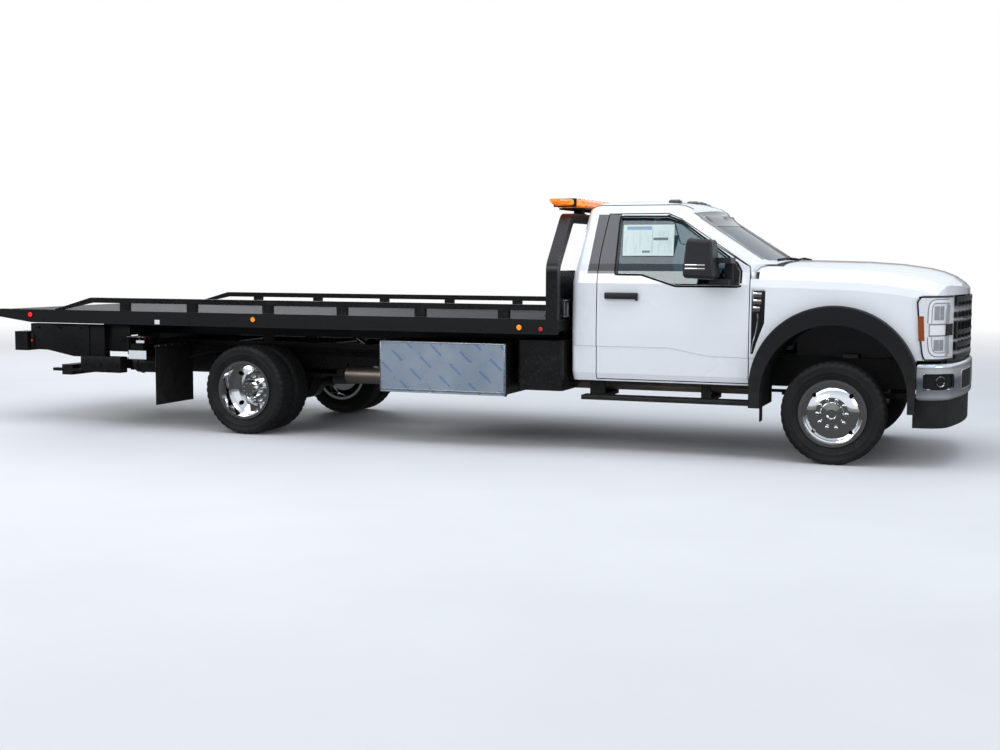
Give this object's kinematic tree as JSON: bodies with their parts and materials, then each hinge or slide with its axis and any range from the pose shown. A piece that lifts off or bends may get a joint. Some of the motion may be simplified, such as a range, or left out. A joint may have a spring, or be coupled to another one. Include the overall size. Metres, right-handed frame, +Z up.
{
  "type": "flatbed tow truck",
  "caption": "Regular cab flatbed tow truck with dual rear wheels, a tilting and sliding steel bed, winch, wheel lift, opening doors, hood and toolboxes.",
  "frame": {"origin": "on the ground, midway between the front bumper and the tail of the bed, on the middle plane", "axes": "+X forward, +Y to the truck's left, +Z up"},
  "size_m": [9.0748, 2.67, 2.106],
  "materials": {
    "white_paint": "gloss white paint",
    "black_plastic": "fine grain black plastic",
    "dam_plastic": "dark grey plastic",
    "cabin_plastic": "grained cabin plastic",
    "frame_black": "satin black",
    "bed_black": "semi-gloss black",
    "toolbox_black": "semi-gloss black",
    "toolbox_aluminium": "filmed aluminium",
    "cast_grey": "cast",
    "exhaust_steel": "heat tinted",
    "bare_steel": "bare",
    "chrome": "polished",
    "polished_rim": "polished",
    "tyre": "new rubber",
    "flap_rubber": "moulded",
    "glass": "tinted",
    "lamp_clear": "clear lens over reflector",
    "lamp_red": "red lens",
    "lamp_amber": "amber lens",
    "seat_fabric": "grey cloth"
  },
  "bodies": {
    "chassis": {"chassis_frame": "frame_black", "powertrain": "cast_grey", "front_axle": "frame_black", "rear_axle": "frame_black", "fuel_tank": "black_plastic", "side_tanks": "bed_black", "exhaust": "exhaust_steel", "cab_shell": "white_paint", "cab_glass": "glass", "seats": "seat_fabric", "dashboard": "cabin_plastic", "cowl": "black_plastic", "fenders": "white_paint", "wheel_flares": "black_plastic", "grille": "chrome", "front_lamps": "lamp_clear", "front_bumper": "chrome", "air_dam": "dam_plastic", "running_boards": "black_plastic", "mud_flaps": "flap_rubber", "toolboxes": "toolbox_black", "control_station": "bed_black"},
    "knuckle_left": {"knuckle_left": "frame_black"},
    "knuckle_right": {"knuckle_right": "frame_black"},
    "wheel_front_left": {"tyre_front_left": "tyre", "rim_front_left": "polished_rim"},
    "wheel_front_right": {"tyre_front_right": "tyre", "rim_front_right": "polished_rim"},
    "wheel_rear_left": {"tyre_rear_left": "tyre", "rim_rear_left": "polished_rim"},
    "wheel_rear_right": {"tyre_rear_right": "tyre", "rim_rear_right": "polished_rim"},
    "door_left": {"door_left": "white_paint", "door_glass_left": "glass", "mirror_left": "black_plastic"},
    "door_right": {"door_right": "white_paint", "door_glass_right": "glass", "mirror_right": "black_plastic"},
    "hood": {"hood": "white_paint"},
    "toolbox_door_left": {"toolbox_door_left": "toolbox_aluminium"},
    "toolbox_door_right": {"toolbox_door_right": "toolbox_aluminium"},
    "tilt": {"tilt_frame": "bed_black", "tail_lamps": "lamp_red"},
    "bed": {"bed_deck": "bed_black", "side_rails": "bed_black", "headboard": "bed_black", "light_bar": "lamp_amber", "winch_frame": "bed_black", "slide_rod": "chrome", "marker_lamps": "lamp_amber"},
    "winch_drum": {"winch_drum": "bare_steel"},
    "tilt_barrels": {"tilt_barrels": "bed_black"},
    "tilt_rods": {"tilt_rods": "chrome"},
    "lift": {"lift_boom": "bed_black"},
    "stinger": {"lift_stinger": "bed_black"}
  },
  "joints": [
    {"name": "steer_left", "type": "hinge", "parent": "chassis", "child": "knuckle_left", "pos_m": [3.5625, 0.83, 0.403], "axis": [0, 0, 1], "range_deg": [-35, 35]},
    {"name": "wheel_front_left", "type": "hinge", "parent": "knuckle_left", "child": "wheel_front_left", "pos_m": [3.5625, 0.95, 0.403], "axis": [0, 1, 0], "continuous": true},
    {"name": "wheel_rear_left", "type": "hinge", "parent": "chassis", "child": "wheel_rear_left", "pos_m": [-1.6525, 0.94, 0.403], "axis": [0, 1, 0], "continuous": true},
    {"name": "door_left", "type": "hinge", "parent": "chassis", "child": "door_left", "pos_m": [2.8745, 1.016, 1.2], "axis": [0, 0, -1], "range_deg": [0, 65]},
    {"name": "toolbox_door_left", "type": "hinge", "parent": "chassis", "child": "toolbox_door_left", "pos_m": [0.3075, 1.179, 0.452], "axis": [-1, 0, 0], "range_deg": [0, 90]},
    {"name": "steer_right", "type": "hinge", "parent": "chassis", "child": "knuckle_right", "pos_m": [3.5625, -0.83, 0.403], "axis": [0, 0, 1], "range_deg": [-35, 35]},
    {"name": "wheel_front_right", "type": "hinge", "parent": "knuckle_right", "child": "wheel_front_right", "pos_m": [3.5625, -0.95, 0.403], "axis": [0, 1, 0], "continuous": true},
    {"name": "wheel_rear_right", "type": "hinge", "parent": "chassis", "child": "wheel_rear_right", "pos_m": [-1.6525, -0.94, 0.403], "axis": [0, 1, 0], "continuous": true},
    {"name": "door_right", "type": "hinge", "parent": "chassis", "child": "door_right", "pos_m": [2.8745, -1.016, 1.2], "axis": [0, 0, 1], "range_deg": [0, 65]},
    {"name": "toolbox_door_right", "type": "hinge", "parent": "chassis", "child": "toolbox_door_right", "pos_m": [0.3075, -1.179, 0.452], "axis": [1, 0, 0], "range_deg": [0, 90]},
    {"name": "hood", "type": "hinge", "parent": "chassis", "child": "hood", "pos_m": [3.1305, 0, 1.597], "axis": [0, -1, 0], "range_deg": [0, 50]},
    {"name": "tilt", "type": "hinge", "parent": "chassis", "child": "tilt", "pos_m": [-3.1875, 0, 0.83], "axis": [0, -1, 0], "range_deg": [0, 13]},
    {"name": "bed_slide", "type": "slide", "parent": "tilt", "child": "bed", "axis": [-1, 0, 0], "range_m": [0, 3.15]},
    {"name": "winch_spin", "type": "hinge", "parent": "bed", "child": "winch_drum", "pos_m": [1.0625, 0, 1.215], "axis": [0, 1, 0], "continuous": true},
    {"name": "tilt_barrel", "type": "hinge", "parent": "chassis", "child": "tilt_barrels", "pos_m": [-0.3375, 0, 0.43], "axis": [0, 1, 0], "range_deg": [0, 17.58]},
    {"name": "tilt_rod", "type": "slide", "parent": "tilt_barrels", "child": "tilt_rods", "axis": [-0.8357, 0, 0.5492], "range_m": [0, 0.3802]},
    {"name": "lift_tilt", "type": "hinge", "parent": "tilt", "child": "lift", "pos_m": [-3.4875, 0, 0.7], "axis": [0, 1, 0], "range_deg": [-15, 0]},
    {"name": "lift_reach", "type": "slide", "parent": "lift", "child": "stinger", "axis": [-1, 0, 0], "range_m": [0, 0.35]}
  ],
  "couplings": [
    {"joint": "steer_right", "follows": "steer_left", "ratio": 1},
    {"joint": "tilt_barrel", "follows": "tilt", "ratio": 1.3447},
    {"joint": "tilt_rod", "follows": "tilt", "m_per_rad": 1.6671}
  ]
}
